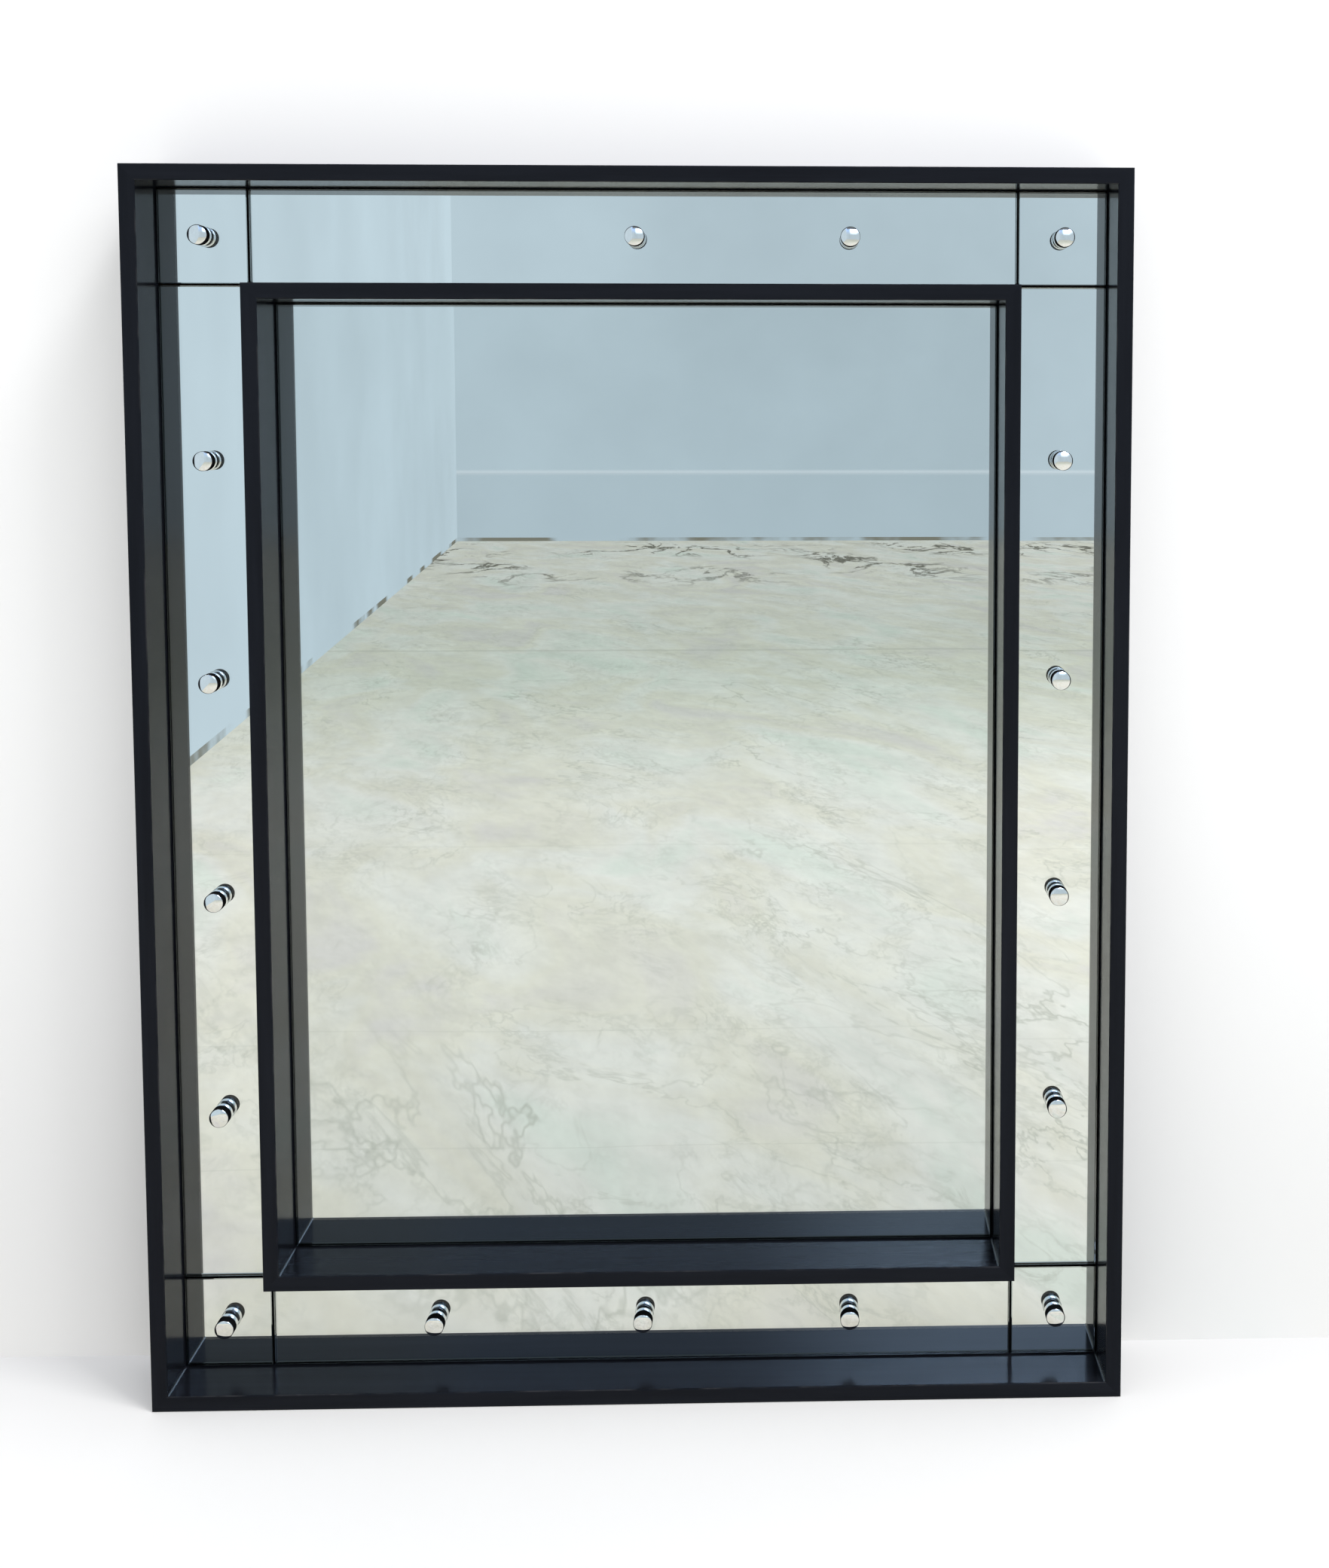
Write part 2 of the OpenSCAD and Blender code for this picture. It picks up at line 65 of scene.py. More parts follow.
# The camera stands close, a little right of the middle and above it, and looks slightly down.
# The small shift keeps the uprights nearly parallel, as they are in the photograph.
camera_data = bpy.data.cameras.new("camera")
camera_data.lens = 44.48
camera_data.sensor_width = 36
camera_data.shift_x = -0.115
camera_data.shift_y = -0.144
camera = bpy.data.objects.new("camera", camera_data)
camera.location = (0.1193, -1.6461, 0.8218)
camera.rotation_euler = [math.radians(angle) for angle in (85.618, -0.02, -1.848)]
bpy.context.scene.collection.objects.link(camera)
bpy.context.scene.camera = camera


# The floor and the wall behind are one plain white, and the room that the mirrors show stands in front:
# pale blue-grey walls with a skirting line over a floor of cream stone.
def shader_tree(name):
    """A new material: its node tree, emptied, and its output node."""
    material = bpy.data.materials.new(name)
    material.use_nodes = True
    tree = material.node_tree
    tree.nodes.clear()
    return material, tree, tree.nodes.new("ShaderNodeOutputMaterial")


def new_piece(name, points, faces, material):
    """An object whose mesh has the given points, faces and material, linked to the scene."""
    mesh = bpy.data.meshes.new(name)
    mesh.from_pydata(points, [], faces)
    mesh.materials.append(material)
    piece = bpy.data.objects.new(name, mesh)
    bpy.context.scene.collection.objects.link(piece)
    return piece


def flat_piece(name, corners, material):
    """One flat four-cornered sheet through the given corners."""
    sheet = new_piece(name, corners, [(0, 1, 2, 3)], material)


def wall_corners(start, end, high):
    """The corners of an upright sheet over the floor line from start to end."""
    return [(*start, 0), (*end, 0), (*end, high), (*start, high)]


def feed(tree, socket, value):
    """Gives an input a plain number or colour, or links it to the socket that is given."""
    if isinstance(value, (int, float)):
        socket.default_value = value
    elif isinstance(value, tuple):
        socket.default_value = (*value, 1)
    else:
        tree.links.new(value, socket)


def math_node(tree, operation, first, second=None, clamp=False):
    """A math node whose inputs are sockets or plain numbers; returns its output."""
    step = tree.nodes.new("ShaderNodeMath")
    step.operation = operation
    step.use_clamp = clamp
    feed(tree, step.inputs[0], first)
    if second is not None:
        feed(tree, step.inputs[1], second)
    return step.outputs[0]


def add_scaled(tree, base, value, factor):
    """The base plus the value times the factor, each a socket or a plain number."""
    return math_node(tree, "ADD", base, math_node(tree, "MULTIPLY", value, factor))


def object_coords(tree, scale=(1, 1, 1), turn=(0, 0, 0)):
    """Object coordinates, turned by one Mapping node and then stretched by another; returns the vector."""
    vector = tree.nodes.new("ShaderNodeTexCoord").outputs["Object"]
    for key, value in (("Rotation", turn), ("Scale", scale)):
        mapping = tree.nodes.new("ShaderNodeMapping")
        mapping.inputs[key].default_value = value
        tree.links.new(vector, mapping.inputs["Vector"])
        vector = mapping.outputs[0]
    return vector


def split(tree, vector):
    """The X, Y and Z parts of a vector, as sockets under those names."""
    parts = tree.nodes.new("ShaderNodeSeparateXYZ")
    tree.links.new(vector, parts.inputs[0])
    return parts.outputs


def noise(tree, vector, scale, detail=3, roughness=0.5, distortion=0):
    """A noise texture on a vector; returns its factor."""
    texture = tree.nodes.new("ShaderNodeTexNoise")
    tree.links.new(vector, texture.inputs["Vector"])
    feed(tree, texture.inputs["Scale"], scale)
    texture.inputs["Detail"].default_value = detail
    texture.inputs["Roughness"].default_value = roughness
    texture.inputs["Distortion"].default_value = distortion
    return texture.outputs["Fac"]


def ramp(tree, factor, stops):
    """A colour ramp with the given (position, colour) stops; returns its colour."""
    step = tree.nodes.new("ShaderNodeValToRGB")
    band = step.color_ramp
    while len(band.elements) < len(stops):
        band.elements.new(1)
    for element, (position, colour) in zip(band.elements, stops):
        element.position = position
        element.color = (*colour, 1)
    tree.links.new(factor, step.inputs["Fac"])
    return step.outputs["Color"]


def shaded(colour, factor):
    """A colour made darker, or brighter where the factor is over 1."""
    return tuple(factor * part for part in colour)


def mix_colour(tree, factor, first, second, blend="MIX"):
    """Mixes two colours, each a socket or a colour, by a factor; returns the colour."""
    step = tree.nodes.new("ShaderNodeMix")
    step.data_type = "RGBA"
    step.blend_type = blend
    for socket, value in ((step.inputs[0], factor), (step.inputs[6], first), (step.inputs[7], second)):
        feed(tree, socket, value)
    return step.outputs[2]


def mix_shaders(tree, share, first, second):
    """Mixes two shaders; share 1 shows the second."""
    both = tree.nodes.new("ShaderNodeMixShader")
    for socket, source in zip(both.inputs, (share, first, second)):
        tree.links.new(source, socket)
    return both.outputs[0]


def add_shaders(tree, first, second):
    """Adds the light of two shaders."""
    both = tree.nodes.new("ShaderNodeAddShader")
    tree.links.new(first, both.inputs[0])
    tree.links.new(second, both.inputs[1])
    return both.outputs[0]


def fade(tree, value, start, end, low=0.0, high=1.0):
    """Maps a value from start to end smoothly onto low to high."""
    step = tree.nodes.new("ShaderNodeMapRange")
    step.interpolation_type = "SMOOTHSTEP"
    tree.links.new(value, step.inputs["Value"])
    for socket, number in zip(step.inputs[1:5], (start, end, low, high)):
        socket.default_value = number
    return step.outputs["Result"]


def thin_line(tree, value, middle, width):
    """1 where a value passes its middle, falling to 0 within the width on both sides."""
    off = math_node(tree, "ABSOLUTE", math_node(tree, "SUBTRACT", value, middle))
    return math_node(tree, "SUBTRACT", 1.0, math_node(tree, "DIVIDE", off, width), clamp=True)


# Where the patches' noise lies under this, the stone has no veins
VEIN_GAPS = 0.45


def vein(tree, vector, scale, width, patch_scale, amount):
    """Mask of a wandering line: where stretched noise passes its middle, inside loose patches."""
    wander = noise(tree, vector, scale, detail=6, roughness=0.62, distortion=0.5)
    line = thin_line(tree, wander, 0.5, width)
    patch = math_node(tree, "SUBTRACT", noise(tree, vector, patch_scale, detail=2), VEIN_GAPS, clamp=True)
    return math_node(tree, "MULTIPLY", line, math_node(tree, "MULTIPLY", patch, amount), clamp=True)


WALL_WHITE = (0.945, 0.945, 0.965)
FLOOR_WHITE = (0.965, 0.955, 0.94)
# How the white's own light changes along one axis: where it starts and ends, in metres, and both strengths
WALL_LIFT = (0.05, 0.6, 0.115, 0.235)
FLOOR_LIFT = (0.0, -0.2, 0.105, 0.22)
# The distances from the middle, in metres, between which everything turns fully white
FAR_WHITE = (1.2, 2.6)


def studio_white(tree, white, axis, lift):
    """Plain white surface with a little light of its own, for what the camera sees directly. The light
    changes gently along one axis, so wall and floor run into each other as on a curved backdrop."""
    diffuse = tree.nodes.new("ShaderNodeBsdfDiffuse")
    diffuse.inputs["Color"].default_value = (*white, 1)
    glow = tree.nodes.new("ShaderNodeEmission")
    place = object_coords(tree)
    sweep = fade(tree, split(tree, place)[axis], *lift)
    distance = tree.nodes.new("ShaderNodeVectorMath")
    distance.operation = "LENGTH"
    tree.links.new(place, distance.inputs[0])
    far = fade(tree, distance.outputs["Value"], *FAR_WHITE)
    tree.links.new(math_node(tree, "MAXIMUM", sweep, far), glow.inputs["Strength"])
    return add_shaders(tree, diffuse.outputs[0], glow.outputs[0])


ROOM_FAR = -10.56
STONE_ROSE = (0.86, 0.83, 0.77)
STONE_CREAM = (0.91, 0.885, 0.76)
STONE_PALE = (0.95, 0.94, 0.86)
STONE_GREEN = (0.87, 0.915, 0.82)
STONE_VEIN = (0.48, 0.50, 0.42)
# The dark of the stone's cracks, also used for the painted shade along the foot of the walls
STONE_CRACK_AND_SHADE = (0.22, 0.22, 0.18)
STONE_TURN = math.radians(18)
# Each layer of mottling: its scale, its detail and the tone of its dark places
MOTTLES = [(9.0, 6, 0.905), (40.0, 4, 0.935), (1.2, 3, 0.96)]
# Each family of veins: its scale, half its width, the scale of its patches and its strength
VEINS = [(3.2, 0.010, 2.3, 2.2), (9.0, 0.018, 4.1, 1.7), (1.6, 0.008, 1.7, 2.6), (21.0, 0.04, 7.0, 1.4)]
# Each joint between slabs: its distance from the mirror's plane, half its width, its strength
SLAB_JOINTS = [(-5.0, 0.03, 0.4), (-2.01, 0.006, 0.2), (-0.915, 0.003, 0.25), (-0.5, 0.002, 0.3)]
JOINT_WAVE = 0.05
# The stone's tone by its distance, as a share of the way to the far wall
DEPTH_TONES = [(0.22, (1, 1, 1)), (0.4, (0.85, 0.90, 0.87)), (0.75, (0.97, 1.0, 1.0))]
# Cracks before the far wall: one family as above, and where they set in and stop
CRACKS = (3.4, 0.035, 1.9, 9.0)
CRACKS_BEGIN = (-7.0, -8.4)
CRACKS_STOP = (-10.55, -10.1)


def cream_stone(tree):
    """Colour of the stone floor: patches of cream, rose grey and pale green drawn out in depth, fine
    veins, slab joints, a duller far half, and dark cracks before the far wall."""
    place = object_coords(tree)
    y = split(tree, place)["Y"]
    drawn = object_coords(tree, scale=(1, 0.4, 1), turn=(0, 0, STONE_TURN))
    patches = noise(tree, drawn, 3.4, detail=4, roughness=0.55, distortion=0.6)
    colour = ramp(tree, patches, [
        (0.33, STONE_ROSE), (0.44, STONE_CREAM), (0.56, STONE_PALE), (0.68, STONE_GREEN)])
    for scale, detail, low in MOTTLES:
        mottle = ramp(tree, noise(tree, drawn, scale, detail, roughness=0.66), [
            (0.33, (low, low, low)), (0.62, (1, 1, 1))])
        colour = mix_colour(tree, 1.0, colour, mottle, "MULTIPLY")
    for family in VEINS:
        colour = mix_colour(tree, vein(tree, drawn, *family), colour, STONE_VEIN)
    wavy = add_scaled(tree, y, math_node(tree, "SUBTRACT", noise(tree, place, 1.5), 0.5), JOINT_WAVE)
    for joint, width, amount in SLAB_JOINTS:
        line = math_node(tree, "MULTIPLY", thin_line(tree, wavy, joint, width), amount)
        colour = mix_colour(tree, line, colour, STONE_VEIN)
    tone = ramp(tree, math_node(tree, "DIVIDE", y, ROOM_FAR), DEPTH_TONES)
    colour = mix_colour(tree, 1.0, colour, tone, "MULTIPLY")
    cracks = vein(tree, object_coords(tree, scale=(1, 0.45, 1)), *CRACKS)
    zone = math_node(tree, "MULTIPLY", fade(tree, y, *CRACKS_BEGIN), fade(tree, y, *CRACKS_STOP))
    return mix_colour(tree, math_node(tree, "MULTIPLY", cracks, zone), colour, STONE_CRACK_AND_SHADE)


STAGE_HALF = 7.0
# The share of the stone's colour that the lamps light, and the stone's own light in FLOOR_LIFT's form
STONE_SHARE = (0.62, 0.62, 0.62)
STONE_LIGHT = (-0.4, -1.6, 0.36, 0.415)
floor_finish, tree, out = shader_tree("studio_floor")
rays = tree.nodes.new("ShaderNodeLightPath")
stone_colour = cream_stone(tree)
lit_stone = tree.nodes.new("ShaderNodeBsdfDiffuse")
tree.links.new(mix_colour(tree, 1.0, stone_colour, STONE_SHARE, "MULTIPLY"), lit_stone.inputs["Color"])
room_light = tree.nodes.new("ShaderNodeEmission")
depth = split(tree, object_coords(tree))["Y"]
tree.links.new(fade(tree, depth, *STONE_LIGHT), room_light.inputs["Strength"])
tree.links.new(stone_colour, room_light.inputs["Color"])
stone = add_shaders(tree, lit_stone.outputs[0], room_light.outputs[0])
plain_floor = studio_white(tree, FLOOR_WHITE, "Y", FLOOR_LIFT)
tree.links.new(mix_shaders(tree, rays.outputs["Is Camera Ray"], stone, plain_floor), out.inputs["Surface"])
flat_piece("studio_floor", [(-STAGE_HALF, ROOM_FAR, 0), (STAGE_HALF, ROOM_FAR, 0),
                            (STAGE_HALF, STAGE_HALF, 0), (-STAGE_HALF, STAGE_HALF, 0)], floor_finish)


def see_through(tree, shader, share):
    """Mixes a transparent surface with a shader; share 1 shows the shader."""
    clear = tree.nodes.new("ShaderNodeBsdfTransparent")
    return mix_shaders(tree, share, clear.outputs[0], shader)


# The wall behind hides nothing from a camera that stands at its back.
WALL_GAP = 0.003
wall_finish, tree, out = shader_tree("studio_wall")
backfacing = tree.nodes.new("ShaderNodeNewGeometry").outputs["Backfacing"]
rays = tree.nodes.new("ShaderNodeLightPath")
front_seen = math_node(tree, "MULTIPLY", math_node(tree, "SUBTRACT", 1.0, backfacing),
                       rays.outputs["Is Camera Ray"])
plain_wall = studio_white(tree, WALL_WHITE, "Z", WALL_LIFT)
tree.links.new(see_through(tree, plain_wall, front_seen), out.inputs["Surface"])
flat_piece("studio_wall", wall_corners((-STAGE_HALF, WALL_GAP), (STAGE_HALF, WALL_GAP), STAGE_HALF),
           wall_finish)


def mirrored_ray(tree):
    """1 for a ray that a mirror or glass has sent on."""
    rays = tree.nodes.new("ShaderNodeLightPath")
    return math_node(tree, "MAXIMUM", rays.outputs["Is Glossy Ray"], rays.outputs["Is Transmission Ray"])


# How the walls brighten, upwards and to the right: from where to where, in metres, and both strengths
DAY_UP = (2.6, 6.5, 0.0, 1.0)
DAY_RIGHT = (-0.3, 1.1, 0.15, 5.2)
# The blue that the painted daylight gives the walls high up
DAY_BLUE = (0.86, 1.0, 1.35)
# The skirting: its top, half the width of the light line there, and how far its face takes the darker tone
SKIRTING_TOP = 0.43
SKIRTING_LINE = 0.02
SKIRTING_LIGHT = (0.66, 0.74, 0.79)
SKIRTING_TONE = 0.9
SKIRTING_SHARE = 0.35
# The painted shade along the foot of the walls: a dark line up to this height, broken where its noise lies
# under these values
FOOT_SHADE_TOP = 0.022
FOOT_BROKEN = (0.44, 0.56)


def room_wall(name, colour, skirting, start, end):
    """A wall of the mirrored room from start to end, shining with painted light of its own, brighter and
    bluer high up on the right, where painted daylight falls on it. Only mirrored and refracted rays see it,
    so it neither shades nor hides."""
    material, tree, out = shader_tree(name)
    seen = mirrored_ray(tree)
    place = object_coords(tree)
    painted = ramp(tree, noise(tree, place, 0.8, detail=4, roughness=0.55), [
        (0.3, shaded(colour, 0.93)), (0.7, shaded(colour, 1.06))])
    parts = split(tree, place)
    x, z = parts["X"], parts["Z"]
    line = math_node(tree, "MULTIPLY", thin_line(tree, z, SKIRTING_TOP, SKIRTING_LINE), skirting)
    painted = mix_colour(tree, line, painted, SKIRTING_LIGHT)
    low = math_node(tree, "MULTIPLY", math_node(tree, "LESS_THAN", z, SKIRTING_TOP),
                    SKIRTING_SHARE * skirting)
    painted = mix_colour(tree, low, painted, shaded(colour, SKIRTING_TONE))
    # A dark line at the foot: painted shade in the joint of wall and floor
    broken = fade(tree, noise(tree, place, 1.6, detail=4), *FOOT_BROKEN)
    foot_shade = math_node(tree, "MULTIPLY", math_node(tree, "LESS_THAN", z, FOOT_SHADE_TOP), broken)
    painted = mix_colour(tree, foot_shade, painted, STONE_CRACK_AND_SHADE)
    high = fade(tree, z, *DAY_UP)
    painted = mix_colour(tree, high, painted, DAY_BLUE, "MULTIPLY")
    glow = tree.nodes.new("ShaderNodeEmission")
    tree.links.new(painted, glow.inputs["Color"])
    daylight = math_node(tree, "MULTIPLY", high, fade(tree, x, *DAY_RIGHT))
    tree.links.new(math_node(tree, "ADD", 1.0, daylight), glow.inputs["Strength"])
    tree.links.new(see_through(tree, glow.outputs[0], seen), out.inputs["Surface"])
    flat_piece(name, wall_corners(start, end, ROOM_HIGH), material)


# The room's far left corner, its left wall's slant towards the mirror, and its right end and height
CORNER_X = -1.915
SIDE_SLOPE = 0.087
ROOM_RIGHT = 4.2
ROOM_HIGH = 7.0
FAR_WALL = (0.50, 0.605, 0.665)
SIDE_WALL = (0.575, 0.69, 0.755)
near_x = CORNER_X - SIDE_SLOPE * ROOM_FAR
room_wall("room_far_wall", FAR_WALL, 1.0, (CORNER_X, ROOM_FAR), (ROOM_RIGHT, ROOM_FAR))
room_wall("room_side_wall", SIDE_WALL, 0.0, (near_x, 0), (CORNER_X, ROOM_FAR))
room_wall("room_right_wall", FAR_WALL, 1.0, (ROOM_RIGHT, ROOM_FAR), (ROOM_RIGHT, 0))


# The light is soft daylight: the sky does most, a lamp high on the right throws the soft shadow that lies
# to the left of the mirror and under it, and a second one lights the front.
def plain_sky(tree, colour, strength=1.0):
    """A background of one colour."""
    sky = tree.nodes.new("ShaderNodeBackground")
    sky.inputs["Color"].default_value = (*colour, 1)
    sky.inputs["Strength"].default_value = strength
    return sky.outputs[0]


SKY = (0.86, 0.88, 0.92)
SKY_STRENGTH = 0.66
CEILING = (0.20, 0.22, 0.24)
BACKDROP = (1, 1, 1)
world = bpy.data.worlds.new("studio")
bpy.context.scene.world = world
world.use_nodes = True
tree = world.node_tree
tree.nodes.clear()
rays = tree.nodes.new("ShaderNodeLightPath")
unseen = mix_shaders(tree, mirrored_ray(tree), plain_sky(tree, SKY, SKY_STRENGTH), plain_sky(tree, CEILING))
around = mix_shaders(tree, rays.outputs["Is Camera Ray"], unseen, plain_sky(tree, BACKDROP))
tree.links.new(around, tree.nodes.new("ShaderNodeOutputWorld").inputs["Surface"])


def soft_lamp(name, place, aim, size, power):
    """A rectangular area lamp at a place, turned towards a point."""
    data = bpy.data.lights.new(name, "AREA")
    data.shape = "RECTANGLE"
    data.size, data.size_y = size
    data.energy = power
    lamp = bpy.data.objects.new(name, data)
    bpy.context.scene.collection.objects.link(lamp)
    lamp.location = place
    away = np.array(place, float) - np.array(aim, float)
    flat = math.hypot(away[0], away[1])
    lamp.rotation_euler = (math.atan2(flat, away[2]), 0, math.atan2(away[0], -away[1]))
    return lamp


soft_lamp("key_lamp", place=(1.35, -1.2, 3.8), aim=(-0.2, 0, 0.5), size=(0.9, 0.9), power=52)
front_lamp = soft_lamp("front_lamp", place=(1.8, -3.2, 3.0), aim=(0, 0, 0.5), size=(2.0, 1.6), power=34)
front_lamp.visible_glossy = False
front_lamp.visible_transmission = False


# Frame boards: black lacquer over close-grained board, sanded smooth and rubbed thin along the arrises.
# The outer four stand 95 mm deep, the inner four 62 mm, and all meet in splined mitres.
def new_group(name, inputs, outputs):
    """A shader node group with its input and output sockets. An input is a name with a number, or with
    None for a vector; an output is a number."""
    group = bpy.data.node_groups.new(name, "ShaderNodeTree")
    for key, value in inputs:
        kind = "NodeSocketVector" if value is None else "NodeSocketFloat"
        socket = group.interface.new_socket(key, in_out="INPUT", socket_type=kind)
        if value is not None:
            socket.default_value = value
    for key in outputs:
        group.interface.new_socket(key, in_out="OUTPUT", socket_type="NodeSocketFloat")
    source = group.nodes.new("NodeGroupInput").outputs
    return group, source, group.nodes.new("NodeGroupOutput").inputs


# How much finer the pores are than the grain, and the shares of grain and pores in the height
PORE_SCALE = 7.0
GRAIN_SHARES = (0.6, 0.4)


def grain_group():
    """Long faint grain: noise stretched along one axis. Height and a 0 to 1 streak mask come out."""
    group, source, sink = new_group("board_grain", [("Vector", None), ("Scale", 60.0), ("Stretch", 14.0)],
                                    ["Height", "Streak"])
    squeeze = group.nodes.new("ShaderNodeCombineXYZ")
    squeeze.inputs[0].default_value = 1
    squeeze.inputs[1].default_value = 1
    group.links.new(math_node(group, "DIVIDE", 1.0, source["Stretch"]), squeeze.inputs[2])
    along = group.nodes.new("ShaderNodeVectorMath")
    along.operation = "MULTIPLY"
    group.links.new(source["Vector"], along.inputs[0])
    group.links.new(squeeze.outputs[0], along.inputs[1])
    fine = noise(group, along.outputs[0], source["Scale"], detail=5, roughness=0.62)
    pores = noise(group, along.outputs[0], math_node(group, "MULTIPLY", source["Scale"], PORE_SCALE),
                  detail=2)
    large = math_node(group, "MULTIPLY", fine, GRAIN_SHARES[0])
    group.links.new(add_scaled(group, large, pores, GRAIN_SHARES[1]), sink["Height"])
    group.links.new(fine, sink["Streak"])
    return group


# Where the noise lies under the first value nothing is rubbed; the second hardens the patches' edges
RUB_GAPS = 0.45
RUB_CONTRAST = 5.0


def rub_group():
    """Rubbed arris: strongest where a face turns half way between front and side, broken up by noise."""
    group, source, sink = new_group("rubbed_arris", [
        ("Vector", None), ("Normal", None), ("Patch Scale", 40.0), ("Amount", 1.0)], ["Mask"])
    depth = math_node(group, "ABSOLUTE", split(group, source["Normal"])["Y"])
    turned = math_node(group, "MULTIPLY", depth, math_node(group, "SUBTRACT", 1.0, depth))
    arris = math_node(group, "MULTIPLY", turned, 4.0, clamp=True)
    patch = noise(group, source["Vector"], source["Patch Scale"], detail=4)
    broken = math_node(group, "MULTIPLY", math_node(group, "SUBTRACT", patch, RUB_GAPS), RUB_CONTRAST,
                       clamp=True)
    mask = math_node(group, "MULTIPLY", math_node(group, "MULTIPLY", arris, broken), source["Amount"])
    group.links.new(mask, sink["Mask"])
    return group


def drive(tree, step, **sockets):
    """Feeds a node's inputs, by name with _ for a space, from sockets, numbers or colours."""
    for key, value in sockets.items():
        feed(tree, step.inputs[key.replace("_", " ")], value)


def finish(name, **sockets):
    """A material with a Principled BSDF, its plain sockets set; returns material, tree and shader."""
    material, tree, out = shader_tree(name)
    shader = tree.nodes.new("ShaderNodeBsdfPrincipled")
    drive(tree, shader, **sockets)
    tree.links.new(shader.outputs[0], out.inputs["Surface"])
    return material, tree, shader


def placed(tree, group, **sockets):
    """A group node with its inputs fed; returns its outputs."""
    step = tree.nodes.new("ShaderNodeGroup")
    step.node_tree = group
    drive(tree, step, **sockets)
    return step.outputs


def bump(tree, shader, height, distance):
    """Feeds a 0 to 1 height, raised by the distance in metres, to the shader's normal."""
    step = tree.nodes.new("ShaderNodeBump")
    step.inputs["Distance"].default_value = distance
    tree.links.new(height, step.inputs["Height"])
    tree.links.new(step.outputs[0], shader.inputs["Normal"])


def dress(names, material):
    """Gives CAD pieces a material in place of the plain one they come with."""
    for name in names:
        node[name].data.materials.clear()
        node[name].data.materials.append(material)


GRAIN = grain_group()
RUB = rub_group()
# The turns that bring an upright or a level board's length to Z, along which the grain runs
UPRIGHT = (0, 0, 0)
LEVEL = (0, math.radians(90), 0)
LACQUER_BLACK = (0.0095, 0.011, 0.0155)
LACQUER_RUBBED = (0.055, 0.055, 0.06)
LACQUER_RELIEF = 0.06 * MM
LACQUER_ROUGH = 0.09
SMEAR_ROUGH = 0.12
RUB_ROUGH = 0.2


def black_lacquer(name, turn):
    """Black lacquer with its grain along the board; turn brings the board's length to Z."""
    material, tree, shader = finish(name, Specular_IOR_Level=0.055, IOR=1.5)
    place = object_coords(tree, turn=turn)
    grain = placed(tree, GRAIN, Vector=place, Scale=70.0, Stretch=16.0)
    normal = tree.nodes.new("ShaderNodeTexCoord").outputs["Normal"]
    rubbed = placed(tree, RUB, Vector=place, Normal=normal, Patch_Scale=35.0, Amount=0.8)["Mask"]
    streaks = ramp(tree, grain["Streak"], [(0.3, LACQUER_BLACK), (0.75, shaded(LACQUER_BLACK, 1.5))])
    smeared = add_scaled(tree, LACQUER_ROUGH, noise(tree, place, 9, roughness=0.6), SMEAR_ROUGH)
    drive(tree, shader, Base_Color=mix_colour(tree, rubbed, streaks, LACQUER_RUBBED),
          Roughness=add_scaled(tree, smeared, rubbed, RUB_ROUGH))
    bump(tree, shader, grain["Height"], LACQUER_RELIEF)
    return material


lacquer_upright = black_lacquer("black_lacquer_upright", UPRIGHT)
lacquer_level = black_lacquer("black_lacquer_level", LEVEL)
for which in ("outer", "inner"):
    dress([f"{which}_board_left", f"{which}_board_right"], lacquer_upright)
    dress([f"{which}_board_top", f"{which}_board_bottom"], lacquer_level)

# Lacquer pooled in the lower inside corners of both frames, which dried standing up: it leaves a small
# glossy hollow along each joint.
BEAD_STEPS = 9
BEAD_R = 1.5 * MM
BEAD_ROUGH = 0.12
BEAD_UNEVEN = 0.2
MIDDLE = ((box_low.x + box_high.x) / 2, (box_low.z + box_high.z) / 2)
# The boards' front edges are rounded by this, and the beads start behind the rounding
EDGE_R = 1.2 * MM
# In metres: points nearer than the first are merged, edges shorter than the second are dropped
SAME_POINT = 1e-6
NO_LENGTH = 1e-7
SHARP_TURN = math.radians(35)


def tidy(mesh):
    """Merges doubled points, turns the faces outwards and shades smooth but for sharp edges."""
    work = bmesh.new()
    work.from_mesh(mesh)
    bmesh.ops.remove_doubles(work, verts=work.verts, dist=SAME_POINT)
    bmesh.ops.dissolve_degenerate(work, edges=work.edges, dist=NO_LENGTH)
    bmesh.ops.recalc_face_normals(work, faces=work.faces)
    work.to_mesh(mesh)
    work.free()
    mesh.polygons.foreach_set("use_smooth", np.ones(len(mesh.polygons), bool))
    mesh.set_sharp_from_angle(angle=SHARP_TURN)


def corner_beads(name, corners, front, back, radius, material):
    """Hollow fillets: in each corner the section's arc curves inwards between the two faces. The section
    is carried along Y from front to back."""
    turn = np.linspace(0, math.pi / 2, BEAD_STEPS)
    points, faces = [], []
    for x, z in corners:
        inward = np.array((-math.copysign(1, x - MIDDLE[0]), -math.copysign(1, z - MIDDLE[1])))
        hollow = radius * (1 - np.stack([np.sin(turn), np.cos(turn)], axis=1))
        section = np.array((x, z)) + np.concatenate([np.zeros((1, 2)), hollow]) * inward
        rows = np.repeat([front, back], len(section))
        start = len(points) * 2 * len(section)
        points.append(np.column_stack([np.tile(section[:, 0], 2), rows, np.tile(section[:, 1], 2)]))
        step = np.arange(len(section))
        after = (step + 1) % len(section)
        sides = np.stack([step, after, after + len(section), step + len(section)], axis=1)
        fan = np.stack([np.zeros(len(section) - 2, int), step[1:-1], step[2:]], axis=1)
        faces += (start + sides).tolist() + (start + fan).tolist() + (start + len(section) + fan).tolist()
    piece = new_piece(name, np.concatenate(points).tolist(), faces, material)
    tidy(piece.data)
    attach(piece, ROOT)


